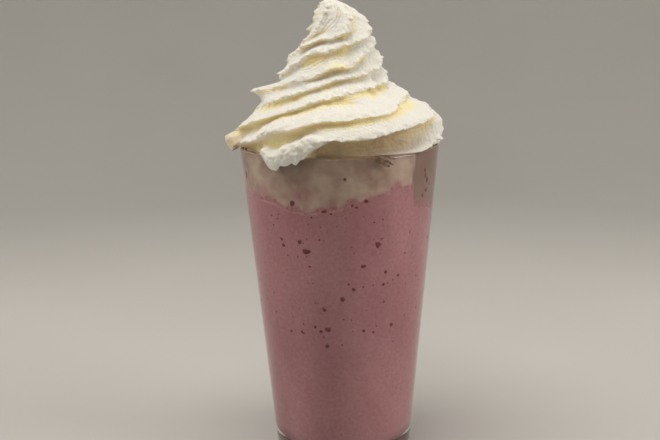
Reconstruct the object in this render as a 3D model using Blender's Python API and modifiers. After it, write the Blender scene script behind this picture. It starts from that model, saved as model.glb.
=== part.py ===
"""A tall conical glass filled with pink milkshake and heaped with a piped swirl of whipped cream.

The glass stands on the plane z = 0 with its axis on +Z, and its front faces -Y. All sizes are in metres.
Three solids make it up: the glass, the drink in it, and the cream that closes the glass and rises above it.
"""

from math import acos, atan2, cos, exp, hypot, pi, radians, sin

import bmesh
import bpy
import numpy as np
from mathutils import Vector, noise

MM = 0.001
CLEARANCE = 0.3 * MM

# The glass, a straight cone inside and out, with a thick foot
GLASS_HEIGHT = 150.0 * MM
RIM_RADIUS = 44.5 * MM
FOOT_RADIUS = 32.1 * MM
WALL_AT_RIM = 2.3 * MM
WALL_AT_FOOT = 3.2 * MM
FOOT_THICKNESS = 12.5 * MM
HEEL_ROUNDING = 2.0 * MM
INNER_CORNER = 8.0 * MM
GLASS_STEPS = 72

# Where the drink meets the cream, seen through the wall as a wavy line
MEETING_HEIGHT = 132.3 * MM
MEETING_WAVE = 4.3 * MM
MEETING_WAVES_ROUND = 3
MEETING_CREST_AT = radians(-50)

# The swirl: its outline over the crests, how deep the grooves are, and how the ridges climb
CREAM_TOP = 212.4 * MM
OUTLINE_HEIGHTS = np.array([150, 156, 161, 165, 170, 176, 187, 194, 202, 207, 210, 211.6, 212.4]) * MM
OUTLINE_RADII = np.array([45.2, 46.2, 45.2, 41.2, 34.8, 29.2, 22.6, 17.2, 13.2, 10.6, 7.4, 4.4, 0.0]) * MM
GROOVE_HEIGHTS = np.array([150, 160, 176, 188, 198, 207, 212.4]) * MM
GROOVE_DEPTHS = np.array([5.4, 5.8, 5.2, 4.6, 3.4, 2.6, 0.0]) * MM
RIDGES_ROUND = 6
CLIMB_HEIGHTS = np.array([150, 155, 160, 165, 170, 175, 180, 184, 189, 193, 197, 203, 212.4]) * MM
CLIMB_RIDGES = np.array([-0.55, 0.0, 0.55, 1.1, 1.75, 2.45, 3.3, 3.95, 4.55, 4.95, 5.35, 5.55, 5.6])
FRONT = radians(-90)
CREST_SAG = 1.3 * MM
CREST_ROUNDING = 0.035

# Where the lowest ridge spills over the rim, at the front left
SPILL_AT = radians(-119)
SPILL_HALF_WIDTH = radians(21)
SPILL_DROP = 4.8 * MM
SPILL_REACH = 8.0 * MM
SPILL_BULGE = 1.8 * MM
SPILL_OUT_BY = 0.25
RIM_CLEARANCE = 0.6 * MM
CREAM_FOOT_BEVEL = 2.0 * MM

# The tip is broken off askew: higher at the left than at the right
TIP_FROM = 198.0 * MM
TIP_SLOPE = -0.2

# How finely the cream and the drink are divided: points round the axis, and rings from bottom to top
SKIN_COLUMNS = 90
CREAM_RINGS = 52
CREAM_FLOOR_SHARE = 0.08
CREAM_WALL_SHARE = 0.14
CREAM_RIM_SHARE = 0.22
DRINK_RINGS = 12
DRINK_FLOOR_SHARE = 0.42
DRINK_WALL_SHARE = 0.67


def smooth_step(low, high, value):
    """0 below low, 1 above high, and an S-curve between."""
    share = min(1.0, max(0.0, (value - low) / (high - low)))
    return share * share * (3 - 2 * share)


def bump(offset, width):
    """A soft hill of height 1."""
    return exp(-((offset / width) ** 2))


def turn_between(azimuth, centre):
    """The signed angle from centre to azimuth, the short way round."""
    return (azimuth - centre + pi) % (2 * pi) - pi


def outer_radius(z):
    return FOOT_RADIUS + (RIM_RADIUS - FOOT_RADIUS) * z / GLASS_HEIGHT


def inner_radius(z):
    return outer_radius(z) - WALL_AT_FOOT - (WALL_AT_RIM - WALL_AT_FOOT) * z / GLASS_HEIGHT


def arc(centre_x, centre_z, radius, start, end, steps):
    """Points on a round corner, as (radius, height)."""
    angles = np.radians(np.linspace(start, end, steps + 1))
    return [(centre_x + radius * cos(a), centre_z + radius * sin(a)) for a in angles]


def make_material(name, colour, roughness, transmission=0.0):
    material = bpy.data.materials.new(name)
    material.use_nodes = True
    shader = material.node_tree.nodes["Principled BSDF"]
    shader.inputs["Base Color"].default_value = (*colour, 1.0)
    shader.inputs["Roughness"].default_value = roughness
    shader.inputs["Metallic"].default_value = 0.0
    shader.inputs["Transmission Weight"].default_value = transmission
    material.diffuse_color = (*colour, 1.0 - 0.7 * transmission)
    return material


def add_object(name, mesh, material, collection):
    mesh.materials.append(material)
    piece = bpy.data.objects.new(name, mesh)
    collection.objects.link(piece)
    return piece


def glass_profile():
    """Half of the glass in section, from the middle of the foot's underside round to the inner floor's middle."""
    rim_round = WALL_AT_RIM / 2
    rim_middle = RIM_RADIUS - rim_round
    outside = [(outer_radius(z), z) for z in np.linspace(GLASS_HEIGHT - rim_round, HEEL_ROUNDING * 1.2, 3)]
    heel = arc(FOOT_RADIUS - HEEL_ROUNDING, HEEL_ROUNDING, HEEL_ROUNDING, 0, -90, 3)
    rim = arc(rim_middle, GLASS_HEIGHT - rim_round, rim_round, 180, 0, 6)[1:-1]
    corner_z = FOOT_THICKNESS + INNER_CORNER
    corner_x = inner_radius(corner_z) - INNER_CORNER
    inside_corner = arc(corner_x, corner_z, INNER_CORNER, -90, 0, 4)
    inside = [(inner_radius(GLASS_HEIGHT - rim_round), GLASS_HEIGHT - rim_round)]
    inner_half = [(0.0, FOOT_THICKNESS)] + inside_corner + inside
    return inner_half + rim + outside + heel + [(0.0, 0.0)]


def make_glass(collection):
    """The profile turned through a full circle, with a flat underside to stand on."""
    points = glass_profile()
    mesh = bpy.data.meshes.new("glass")
    edges = [(i, i + 1) for i in range(len(points) - 1)]
    mesh.from_pydata([(x, 0.0, z) for x, z in points], edges, [])
    glass = add_object("glass", mesh, make_material("clear glass", (0.93, 0.95, 0.94), 0.02, 1.0), collection)
    screw = glass.modifiers.new("Turn", "SCREW")
    screw.steps = GLASS_STEPS
    screw.render_steps = GLASS_STEPS
    screw.use_merge_vertices = True
    screw.merge_threshold = 0.00001
    screw.use_smooth_shade = True
    return glass


def meeting_height(radius, azimuth):
    """The height of the drink's surface, which waves most at the wall."""
    wave = cos(MEETING_WAVES_ROUND * (azimuth - MEETING_CREST_AT))
    return MEETING_HEIGHT + MEETING_WAVE * wave * (radius / RIM_RADIUS) ** 2


def closed_skin(name, rings, columns, point_at, material, collection):
    """A sphere whose every point is moved to point_at(share, azimuth), with share 0 at the bottom and 1 at the top."""
    skin = bmesh.new()
    bmesh.ops.create_uvsphere(skin, u_segments=columns, v_segments=rings, radius=1.0)
    for vertex in skin.verts:
        share = 1 - acos(min(1.0, max(-1.0, vertex.co.z))) / pi
        vertex.co = point_at(share, atan2(vertex.co.y, vertex.co.x))
    bmesh.ops.triangulate(skin, faces=skin.faces[:], quad_method="SHORT_EDGE")
    for face in skin.faces:
        face.smooth = True
    mesh = bpy.data.meshes.new(name)
    skin.to_mesh(mesh)
    skin.free()
    mesh.set_sharp_from_angle(angle=radians(50))
    return add_object(name, mesh, material, collection)


def along(path, share):
    """The point at that share of a path's length, with the path given as (radius, height) points."""
    path = np.array(path)
    reached = np.concatenate([[0.0], np.cumsum(np.hypot(*np.diff(path, axis=0).T))])
    where = share * reached[-1]
    return np.interp(where, reached, path[:, 0]), np.interp(where, reached, path[:, 1])


def drink_point(share, azimuth):
    """The drink: up from the rounded floor of the glass, along its wall, and over the wavy top to the middle."""
    corner_z = FOOT_THICKNESS + INNER_CORNER
    corner_x = inner_radius(corner_z) - INNER_CORNER
    top_radius = inner_radius(MEETING_HEIGHT) - CLEARANCE
    if share <= DRINK_FLOOR_SHARE:
        corner = arc(corner_x, corner_z, INNER_CORNER - CLEARANCE, -90, 0, 4)
        radius, z = along([(0.0, FOOT_THICKNESS + CLEARANCE)] + corner, share / DRINK_FLOOR_SHARE)
    elif share <= DRINK_WALL_SHARE:
        climb = (share - DRINK_FLOOR_SHARE) / (DRINK_WALL_SHARE - DRINK_FLOOR_SHARE)
        top = meeting_height(top_radius, azimuth)
        z = corner_z + climb * (top - corner_z)
        radius = inner_radius(z) - CLEARANCE
    else:
        radius = top_radius * (1 - share) / (1 - DRINK_WALL_SHARE)
        z = meeting_height(radius, azimuth)
    return Vector((radius * cos(azimuth), radius * sin(azimuth), z))


def ridges_climbed(z, azimuth):
    """How many ridges lie below a point of the swirl: a whole number on each crest."""
    climb = np.interp(z, CLIMB_HEIGHTS, CLIMB_RIDGES) - RIDGES_ROUND * (azimuth - FRONT) / (2 * pi)
    dip = bump(turn_between(azimuth, radians(-130)), radians(20)) * bump(z - 161 * MM, 6 * MM)
    place = Vector((cos(azimuth), sin(azimuth), z / (40 * MM)))
    return climb + 0.16 * noise.noise(1.6 * place) - 0.4 * dip


def nearest_crest(z, azimuth):
    """The height of the crest nearest to z, so that a ring of points can be laid along it."""
    crest = round(ridges_climbed(z, azimuth))
    step = 0.1 * MM
    least_rate = 0.02 / MM
    for _ in range(3):
        climb = ridges_climbed(z, azimuth)
        rate = (ridges_climbed(z + step, azimuth) - climb) / step
        z += (crest - climb) / max(rate, least_rate)
    return z


def ridge_height(z, azimuth):
    """1 on the sharp crest of a piped ridge, falling to 0 in the rounded groove between two."""
    climb = ridges_climbed(z, azimuth)
    from_crest = hypot(climb - round(climb), CREST_ROUNDING)
    return 1 - min(1.0, sin(pi * min(0.5, from_crest)))


def spikes(z, azimuth):
    """How far the torn ends of two ridges and the folded lobe at the right stand out."""
    fin = 10.5 * MM * bump(turn_between(azimuth, radians(179)), radians(9)) * bump(z - 175 * MM, 2.2 * MM)
    lobe = 11.0 * MM * bump(turn_between(azimuth, radians(172)), radians(15)) * bump(z - 155 * MM, 3.2 * MM)
    fold = 2.2 * MM * bump(turn_between(azimuth, radians(-12)), radians(22)) * bump(z - 158 * MM, 5 * MM)
    crease = 2.4 * MM * bump(turn_between(azimuth, radians(-42)), radians(5)) * bump(z - 175 * MM, 6 * MM)
    return fin + lobe + fold - crease


def swirl_section(z, azimuth):
    """The radius and height of the piped surface for a height on its plain outline."""
    ridge = ridge_height(z, azimuth)
    depth = np.interp(z, GROOVE_HEIGHTS, GROOVE_DEPTHS)
    place = Vector((cos(azimuth), sin(azimuth), z / (30 * MM)))
    uneven = 1 + 0.25 * noise.noise(2.3 * place + Vector((7, 3, 1)))
    outline = np.interp(z, OUTLINE_HEIGHTS, OUTLINE_RADII)
    closing = 1 - smooth_step(208 * MM, CREAM_TOP, z)
    radius = outline - depth * uneven * (1 - ridge) + spikes(z, azimuth) * closing
    return max(0.0, radius), z - CREST_SAG * ridge * smooth_step(152 * MM, 158 * MM, z) * closing


def spill_amounts(azimuth):
    """How far the cream has gone out over the rim, and how far it then hangs down outside, each from 0 to 1."""
    aside = min(1.0, abs(turn_between(azimuth, SPILL_AT)) / SPILL_HALF_WIDTH)
    amount = cos(aside * pi / 2) ** 2
    return min(1.0, amount / SPILL_OUT_BY), max(0.0, amount - SPILL_OUT_BY) / (1 - SPILL_OUT_BY)


def lean(z):
    """How far the swirl's middle strays from the glass's axis."""
    share = smooth_step(165 * MM, 190 * MM, z)
    swing = sin((z - 176 * MM) / (21 * MM) * pi)
    return -1.6 * MM * share * swing, 0.8 * MM * share * swing


def over_the_rim(azimuth, lip_z, spill):
    """The cream's way from the inside of the wall over the rim to the swirl's lowest edge, as (radius, height) points."""
    wall_top = GLASS_HEIGHT - RIM_CLEARANCE * 2
    rim_inside = inner_radius(GLASS_HEIGHT)
    lip_radius, _ = swirl_section(lip_z, azimuth)
    lip_radius += spill[0] * (max(lip_radius, RIM_RADIUS + RIM_CLEARANCE) - lip_radius)
    path = [(inner_radius(wall_top) - CLEARANCE, wall_top)]
    if lip_radius > rim_inside:
        path.append((rim_inside - CLEARANCE, lip_z))
    path.append((lip_radius, lip_z))
    path.append((lip_radius, lip_z - spill[1] * SPILL_DROP))
    return path


def swirl_point(plain_z, azimuth, lip_z, spill):
    """The piped surface, pushed out and down where it spills over the rim."""
    radius, z = swirl_section(plain_z, azimuth)
    low = max(0.0, 1 - (plain_z - lip_z) / SPILL_REACH)
    radius += spill[0] * low * (max(radius, RIM_RADIUS + RIM_CLEARANCE) - radius)
    radius += spill[1] * SPILL_BULGE * sin(pi * low) ** 2
    return radius, z - spill[1] * SPILL_DROP * low


def cream_point(share, azimuth):
    """The cream: its underside on the drink, up the wall, over the rim, and the swirl up to its torn tip."""
    lip_z = GLASS_HEIGHT + RIM_CLEARANCE
    floor_radius = inner_radius(MEETING_HEIGHT) - CREAM_FOOT_BEVEL
    spill = spill_amounts(azimuth)
    path = over_the_rim(azimuth, lip_z, spill)
    if share <= CREAM_FLOOR_SHARE:
        radius = floor_radius * share / CREAM_FLOOR_SHARE
        z = meeting_height(radius, azimuth) + 2 * CLEARANCE
    elif share <= CREAM_WALL_SHARE:
        climb = (share - CREAM_FLOOR_SHARE) / (CREAM_WALL_SHARE - CREAM_FLOOR_SHARE)
        start = meeting_height(floor_radius, azimuth) + CREAM_FOOT_BEVEL
        z = start + climb * (path[0][1] - start)
        radius = inner_radius(z) - CLEARANCE
    elif share <= CREAM_RIM_SHARE:
        radius, z = along(path, (share - CREAM_WALL_SHARE) / (CREAM_RIM_SHARE - CREAM_WALL_SHARE))
    else:
        rise = (share - CREAM_RIM_SHARE) / (1 - CREAM_RIM_SHARE)
        row = (CREAM_TOP - lip_z) / ((1 - CREAM_RIM_SHARE) * CREAM_RINGS)
        plain_z = lip_z + rise * (CREAM_TOP - lip_z)
        crest_z = nearest_crest(plain_z, azimuth)
        if abs(crest_z - plain_z) < row / 2 and lip_z + row < plain_z < CREAM_TOP - 4 * row:
            plain_z = crest_z
        radius, z = swirl_point(plain_z, azimuth, lip_z, spill)
    shift_x, shift_y = lean(z)
    x = radius * cos(azimuth) + shift_x
    y = radius * sin(azimuth) + shift_y
    return Vector((x, y, z + TIP_SLOPE * x * smooth_step(TIP_FROM, CREAM_TOP, z)))


def main():
    for old in list(bpy.data.objects):
        bpy.data.objects.remove(old, do_unlink=True)
    collection = bpy.data.collections.new("milkshake")
    bpy.context.scene.collection.children.link(collection)
    make_glass(collection)
    pink = make_material("pink milkshake", (0.60, 0.33, 0.34), 0.35)
    closed_skin("milkshake", DRINK_RINGS, SKIN_COLUMNS, drink_point, pink, collection)
    cream = make_material("whipped cream", (0.88, 0.83, 0.72), 0.5)
    closed_skin("whipped_cream", CREAM_RINGS, SKIN_COLUMNS, cream_point, cream, collection)


main()
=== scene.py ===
from math import cos, pi, radians, sin

import bmesh
import bpy
import numpy as np
from mathutils import Matrix, Vector, noise


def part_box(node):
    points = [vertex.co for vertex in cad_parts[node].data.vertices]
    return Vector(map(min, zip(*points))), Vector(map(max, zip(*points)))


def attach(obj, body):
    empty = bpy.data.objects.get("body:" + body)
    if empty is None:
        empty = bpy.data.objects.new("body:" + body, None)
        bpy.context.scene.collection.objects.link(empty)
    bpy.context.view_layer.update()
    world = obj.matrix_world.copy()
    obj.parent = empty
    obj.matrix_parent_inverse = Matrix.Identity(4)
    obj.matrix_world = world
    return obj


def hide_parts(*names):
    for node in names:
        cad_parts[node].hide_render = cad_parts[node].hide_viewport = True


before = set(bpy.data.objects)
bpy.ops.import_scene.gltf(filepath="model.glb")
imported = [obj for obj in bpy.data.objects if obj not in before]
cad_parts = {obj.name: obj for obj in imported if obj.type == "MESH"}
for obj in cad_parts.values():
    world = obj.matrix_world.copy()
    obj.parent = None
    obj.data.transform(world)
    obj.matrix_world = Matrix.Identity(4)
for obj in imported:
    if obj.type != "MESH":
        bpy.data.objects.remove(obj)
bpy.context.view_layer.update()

# The glass is a tall plain tumbler of clear glass, pressed in one piece and fire polished.
# Inside and out it is a straight cone, with a melted round rim and a thick flat foot.
# It is turned here from half its section, and everything else sits in it.
MM = 0.001
GLASS_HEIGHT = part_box("glass")[1][2]
RIM_RADIUS = 44.5 * MM
FOOT_RADIUS = 32.1 * MM
WALL_AT_RIM = 2.3 * MM
WALL_AT_FOOT = 3.2 * MM
FOOT_THICKNESS = 12.5 * MM
HEEL_ROUNDING = 2.0 * MM
RIM_ROUNDING = 0.49 * WALL_AT_RIM
INNER_CORNER = 8.0 * MM
WELD = 0.01 * MM
GLASS_TINT = (0.975, 0.985, 0.975, 1.0)
GLASS_STEPS = 256


def outer_radius(z):
    return FOOT_RADIUS + (RIM_RADIUS - FOOT_RADIUS) * z / GLASS_HEIGHT


def inner_radius(z):
    return outer_radius(z) - WALL_AT_FOOT - (WALL_AT_RIM - WALL_AT_FOOT) * z / GLASS_HEIGHT


def finish_mesh(name, work, material, crease=radians(180)):
    """Turns a bmesh into a smooth piece at the origin. Edges past the crease angle stay sharp."""
    for face in work.faces:
        face.smooth = True
    mesh = bpy.data.meshes.new(name)
    work.to_mesh(mesh)
    work.free()
    if crease < pi:
        mesh.set_sharp_from_angle(angle=crease)
    mesh.materials.append(material)
    piece = bpy.data.objects.new(name, mesh)
    bpy.context.scene.collection.objects.link(piece)
    return piece


def new_material(name):
    """A material with its nodes on, and with it its node tree, its shader and its output node."""
    material = bpy.data.materials.new(name)
    material.use_nodes = True
    tree = material.node_tree
    return material, tree, tree.nodes["Principled BSDF"], tree.nodes["Material Output"]


def add_node(tree, kind, **inputs):
    """Adds a node and sets the named inputs, with spaces written as underscores."""
    node = tree.nodes.new(kind)
    for key, value in inputs.items():
        node.inputs[key.replace("_", " ")].default_value = value
    return node


def clear_glass_material():
    """Clear glass that is a little wavy and lets the lamps' light straight through to what it holds."""
    material, tree, shader, output = new_material("clear pressed glass")
    shader.inputs["Base Color"].default_value = GLASS_TINT
    shader.inputs["IOR"].default_value = 1.5
    shader.inputs["Transmission Weight"].default_value = 1.0
    place = add_node(tree, "ShaderNodeTexCoord")
    waviness = add_node(tree, "ShaderNodeTexNoise", Scale=55.0, Detail=1.0)
    wavy = add_node(tree, "ShaderNodeBump", Strength=0.05, Distance=0.0006)
    smears = add_node(tree, "ShaderNodeTexNoise", Scale=30.0, Detail=4.0)
    smear_range = add_node(
        tree, "ShaderNodeMapRange", From_Min=0.5, From_Max=0.8, To_Min=0.012, To_Max=0.06,
    )
    through = add_node(tree, "ShaderNodeBsdfTransparent")
    rays = add_node(tree, "ShaderNodeLightPath")
    mix = add_node(tree, "ShaderNodeMixShader")
    tree.links.new(place.outputs["Object"], waviness.inputs["Vector"])
    tree.links.new(place.outputs["Object"], smears.inputs["Vector"])
    tree.links.new(waviness.outputs["Fac"], wavy.inputs["Height"])
    tree.links.new(wavy.outputs["Normal"], shader.inputs["Normal"])
    tree.links.new(smears.outputs["Fac"], smear_range.inputs["Value"])
    tree.links.new(smear_range.outputs["Result"], shader.inputs["Roughness"])
    tree.links.new(rays.outputs["Is Shadow Ray"], mix.inputs["Fac"])
    tree.links.new(shader.outputs["BSDF"], mix.inputs[1])
    tree.links.new(through.outputs["BSDF"], mix.inputs[2])
    tree.links.new(mix.outputs["Shader"], output.inputs["Surface"])
    return material


def lay_section(work, section):
    """Points at (radius, height) pairs, each joined to the next by an edge."""
    corners = [work.verts.new((x, 0.0, z)) for x, z in section]
    for first, second in zip(corners, corners[1:]):
        work.edges.new((first, second))
    return corners


def round_corner(work, corner, offset, segments):
    bmesh.ops.bevel(
        work, geom=[corner], offset=offset, offset_type="OFFSET", affect="VERTICES",
        segments=segments, profile=0.5, material=-1,
    )


def turn_section(work, steps):
    """Turns the section once round the Z axis."""
    bmesh.ops.spin(
        work, geom=work.verts[:] + work.edges[:], cent=(0, 0, 0), axis=(0, 0, 1),
        angle=2 * pi, steps=steps, use_merge=True,
    )
    bmesh.ops.remove_doubles(work, verts=work.verts[:], dist=WELD)


turned = bmesh.new()
corners = lay_section(turned, [
    (0.0, FOOT_THICKNESS),
    (inner_radius(FOOT_THICKNESS), FOOT_THICKNESS),
    (inner_radius(GLASS_HEIGHT), GLASS_HEIGHT),
    (RIM_RADIUS, GLASS_HEIGHT),
    (FOOT_RADIUS, 0.0),
    (0.0, 0.0),
])
round_corner(turned, corners[4], HEEL_ROUNDING, 6)
round_corner(turned, corners[3], RIM_ROUNDING, 8)
round_corner(turned, corners[2], RIM_ROUNDING, 8)
round_corner(turned, corners[1], INNER_CORNER, 12)
turn_section(turned, GLASS_STEPS)
bmesh.ops.recalc_face_normals(turned, faces=turned.faces[:])
tumbler = finish_mesh("clear_tumbler", turned, clear_glass_material())
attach(tumbler, "root")
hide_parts("glass")

# The drink is a thick blended milkshake of a dusty pink, opaque and full of fine air.
# It fills the glass to a few centimetres below the rim, where it meets the cream in a wavy line.
# Its skin reaches just into the wall, as a wet drink touches the glass without a gap.
DRINK_REACH = 0.08 * MM
MEETING_HEIGHT = 132.3 * MM
MEETING_WAVE = 4.3 * MM
MEETING_WAVES_ROUND = 3
MEETING_CREST_AT = radians(-50)
LEFT_DIP = 4.5 * MM
LEFT_DIP_AT = radians(-163)
LEFT_DIP_HALF_WIDTH = radians(18)
# Lumps come in layers, here and further on: height and size in mm, and a shift in the noise.
MEETING_LUMPS = ((1.0, 6.0, 3.0), (0.5, 2.2, 9.0))
STRIP_FROM = radians(-45)
STRIP_TO = radians(8)
STRIP_FADE = radians(25)
STRIP_SLOPE = radians(3)
STRIP_DROP = 8.5 * MM
STRIP_WANDER = radians(1.6)
STRIP_WANDER_SIZE = 9 * MM
STRIP_EDGE = (radians(-0.5), radians(1))
STRIP_GREY = (0.23, 0.135, 0.107, 1.0)
DRINK_COLUMNS = 300
DRINK_RINGS = 110
DRINK_FLOOR_SHARE = 0.22
DRINK_WALL_SHARE = 0.86
PINK = (0.40, 0.180, 0.194, 1.0)
PINK_LIGHT = (0.455, 0.222, 0.232, 1.0)
PINK_DEEP = (0.35, 0.143, 0.157, 1.0)
RASPBERRY = (0.29, 0.07, 0.088, 1.0)
# The foam's tan, pale and brown are partly its own colour and partly painted shade from the cream over the
# rim.
SHADED_FOAM_TAN = (0.43, 0.305, 0.235, 1.0)
SHADED_FOAM_PALE = (0.55, 0.435, 0.345, 1.0)
SHADED_FOAM_BROWN = (0.30, 0.182, 0.145, 1.0)
# Pink blotches where the drink has splashed up into the cream: azimuth and half width in degrees,
# height and half height in mm, and strength.
SPLASHES = (
    (-113, 5, 134.2, 2.6, 1.1), (-142, 5, 134.8, 2.2, 0.9), (-150, 7, 132.6, 1.8, 0.8),
    (-158, 5, 131.5, 1.5, 0.6), (-124, 4, 133.5, 1.6, 0.6), (-97, 5, 131.5, 1.6, 0.5),
    (-133, 3, 136.5, 1.4, 0.6), (-60, 8, 138.0, 1.0, 0.5), (150, 8, 136.0, 2.5, 0.8),
    (110, 6, 133.0, 2.4, 0.9), (60, 9, 135.0, 2.0, 0.8), (25, 5, 132.0, 2.6, 0.7),
)


def ramp(low, high, value):
    """0 at low and before it, 1 at high and past it, and a straight line between."""
    return np.clip((value - low) / (high - low), 0.0, 1.0)


def smooth_step(low, high, value):
    """The same with an S-curve between."""
    share = ramp(low, high, value)
    return share * share * (3 - 2 * share)


def bump(offset, width):
    """A soft hill of height 1."""
    return np.exp(-((offset / width) ** 2))


def turn_between(azimuth, centre):
    """The signed angle from centre to azimuth, the short way round."""
    return (azimuth - centre + pi) % (2 * pi) - pi


def hill(azimuth, z, at, half_width, height, half_height):
    """A soft hill of height 1 on a skin, with its place and half sizes in degrees and mm."""
    near = bump(turn_between(azimuth, radians(at)), radians(half_width))
    return near * bump(z / MM - height, half_height)


def on_cylinder(radius, azimuth, z):
    return np.stack([radius * np.cos(azimuth), radius * np.sin(azimuth), z], axis=-1)


def grain(points, size, shift=0.0):
    """Smooth noise from -1 to 1 at each point, with lumps of about that size."""
    return np.array([noise.noise(place) for place in (points / size + shift).tolist()])


def lumps(points, layers):
    """How far layers of lumps stand out at each point, in metres."""
    return sum(height * MM * grain(points, size * MM, shift) for height, size, shift in layers)


def lumps_round(azimuth, layers):
    """Layers of lumps along the rim, the same at every height."""
    return lumps(on_cylinder(RIM_RADIUS, azimuth, np.zeros_like(azimuth)), layers)


def meeting_height(azimuth):
    """The height of the drink's edge on the wall: three waves, two dips, and ragged lumps."""
    waves = MEETING_WAVE * np.cos(MEETING_WAVES_ROUND * (azimuth - MEETING_CREST_AT))
    waves = waves - LEFT_DIP * bump(turn_between(azimuth, LEFT_DIP_AT), LEFT_DIP_HALF_WIDTH)
    strip = smooth_step(STRIP_FROM, STRIP_FROM + STRIP_SLOPE, azimuth)
    strip = strip * smooth_step(STRIP_TO, STRIP_TO - STRIP_FADE, azimuth)
    return MEETING_HEIGHT + (waves - STRIP_DROP * strip + lumps_round(azimuth, MEETING_LUMPS))


def sphere_to_skin(columns, rings, points_at):
    """A sphere whose points are moved by points_at(share, azimuth), from share 0 at the bottom to 1."""
    work = bmesh.new()
    bmesh.ops.create_uvsphere(work, u_segments=columns, v_segments=rings, radius=1.0)
    ball = np.array([vertex.co for vertex in work.verts])
    share = 1 - np.arccos(np.clip(ball[:, 2], -1.0, 1.0)) / pi
    placed = points_at(share, np.arctan2(ball[:, 1], ball[:, 0]))
    for vertex, point in zip(work.verts, placed.tolist()):
        vertex.co = point
    return work


def walk(corners, share):
    """The points at those shares of the way along corner points, which are (radius, height) pairs."""
    xs = np.stack([np.broadcast_to(x, share.shape) for x, _ in corners])
    zs = np.stack([np.broadcast_to(z, share.shape) for _, z in corners])
    steps = np.hypot(np.diff(xs, axis=0), np.diff(zs, axis=0))
    left = np.clip(share, 0.0, 1.0) * steps.sum(axis=0)
    x, z = xs[0].copy(), zs[0].copy()
    for i, step in enumerate(steps):
        part = np.clip(left / np.maximum(step, 1e-9), 0.0, 1.0)
        x += part * (xs[i + 1] - xs[i])
        z += part * (zs[i + 1] - zs[i])
        left = left - step
    return x, z


def pick_stage(share, ends, stages):
    """Each point's radius and height, from the stage of the way that its share lies in."""
    stage = np.searchsorted(ends, share)
    return np.choose(stage, [x for x, _ in stages]), np.choose(stage, [z for _, z in stages])


def store(piece, name, values):
    """Keeps one number for each point of a piece, for its material to read."""
    layer = piece.data.attributes.new(name, "FLOAT", "POINT")
    layer.data.foreach_set("value", np.asarray(values, dtype=np.float32))


def points_of(piece):
    flat = np.empty(len(piece.data.vertices) * 3, dtype=np.float32)
    piece.data.vertices.foreach_get("co", flat)
    return flat.reshape(-1, 3).astype(float)


def store_meeting_line(piece):
    """How far each point lies above the drink's edge in mm, how splashed it is, and the strip's mask."""
    x, y, z = points_of(piece).T
    azimuth = np.arctan2(y, x)
    above = (z - meeting_height(azimuth)) / MM
    splash = np.zeros_like(z)
    for *place, strength in SPLASHES:
        splash = np.maximum(splash, strength * hill(azimuth, z, *place))
    wander = STRIP_WANDER * grain(on_cylinder(1.0, 0 * z, z / STRIP_WANDER_SIZE), 1.0, 5.0)
    strip = smooth_step(*STRIP_EDGE, azimuth - (STRIP_FROM + wander))
    store(piece, "above", above)
    store(piece, "splash", splash)
    store(piece, "strip", strip * smooth_step(STRIP_TO, STRIP_TO - STRIP_FADE, azimuth))


def drink_points(share, azimuth):
    """Up from the rounded floor of the glass, along its wall, and over the wavy top to the middle."""
    corner_z = FOOT_THICKNESS + INNER_CORNER
    corner_x = inner_radius(corner_z) - INNER_CORNER
    reach = INNER_CORNER + DRINK_REACH
    floor = [(0.0, corner_z - reach)]
    for turn in np.radians(np.arange(-90, 1, 6)):
        floor.append((corner_x + reach * cos(turn), corner_z + reach * sin(turn)))
    top = meeting_height(azimuth)
    wall_z = corner_z + ramp(DRINK_FLOOR_SHARE, DRINK_WALL_SHARE, share) * (top - corner_z)
    outward = 1 - ramp(DRINK_WALL_SHARE, 1.0, share)
    over_z = MEETING_HEIGHT + (top - MEETING_HEIGHT) * outward ** 2
    stages = (
        walk(floor, share / DRINK_FLOOR_SHARE),
        (inner_radius(wall_z) + DRINK_REACH, wall_z),
        ((inner_radius(top) + DRINK_REACH) * outward, over_z),
    )
    radius, z = pick_stage(share, (DRINK_FLOOR_SHARE, DRINK_WALL_SHARE), stages)
    return on_cylinder(radius, azimuth, z)


def add_ramp(tree, *stops):
    """A colour ramp from (position, colour) pairs."""
    node = tree.nodes.new("ShaderNodeValToRGB")
    elements = node.color_ramp.elements
    while len(elements) < len(stops):
        elements.new(0.5)
    for element, (position, colour) in zip(elements, stops):
        element.position = position
        element.color = colour
    return node


def add_noise(tree, place, scale, detail=2.0, stretch=(1.0, 1.0, 1.0)):
    """Noise on the piece's own coordinates, stretched along its axes where asked."""
    turn = add_node(tree, "ShaderNodeMapping", Scale=stretch)
    cloud = add_node(tree, "ShaderNodeTexNoise", Scale=scale, Detail=detail)
    tree.links.new(place.outputs["Object"], turn.inputs["Vector"])
    tree.links.new(turn.outputs["Vector"], cloud.inputs["Vector"])
    return cloud.outputs["Fac"]


def add_math(tree, operation, first, second):
    """One sum on two sockets or numbers."""
    node = tree.nodes.new("ShaderNodeMath")
    node.operation = operation
    for socket, value in zip(node.inputs, (first, second)):
        if isinstance(value, (int, float)):
            socket.default_value = value
        else:
            tree.links.new(value, socket)
    return node.outputs["Value"]


def add_range(tree, value, low, high, bottom=0.0, top=1.0):
    """The value taken from the range low to high to the range bottom to top, with soft ends."""
    node = add_node(tree, "ShaderNodeMapRange", From_Min=low, From_Max=high, To_Min=bottom, To_Max=top)
    node.interpolation_type = "SMOOTHSTEP"
    tree.links.new(value, node.inputs["Value"])
    return node.outputs["Result"]


def add_blend(tree, share, first, second):
    """A colour between two, which are sockets or plain colours."""
    node = tree.nodes.new("ShaderNodeMix")
    node.data_type = "RGBA"
    tree.links.new(share, node.inputs["Factor"])
    for name, value in (("A", first), ("B", second)):
        socket = next(s for s in node.inputs if s.name == name and s.type == "RGBA")
        if isinstance(value, tuple):
            socket.default_value = value
        else:
            tree.links.new(value, socket)
    return next(s for s in node.outputs if s.type == "RGBA")


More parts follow.
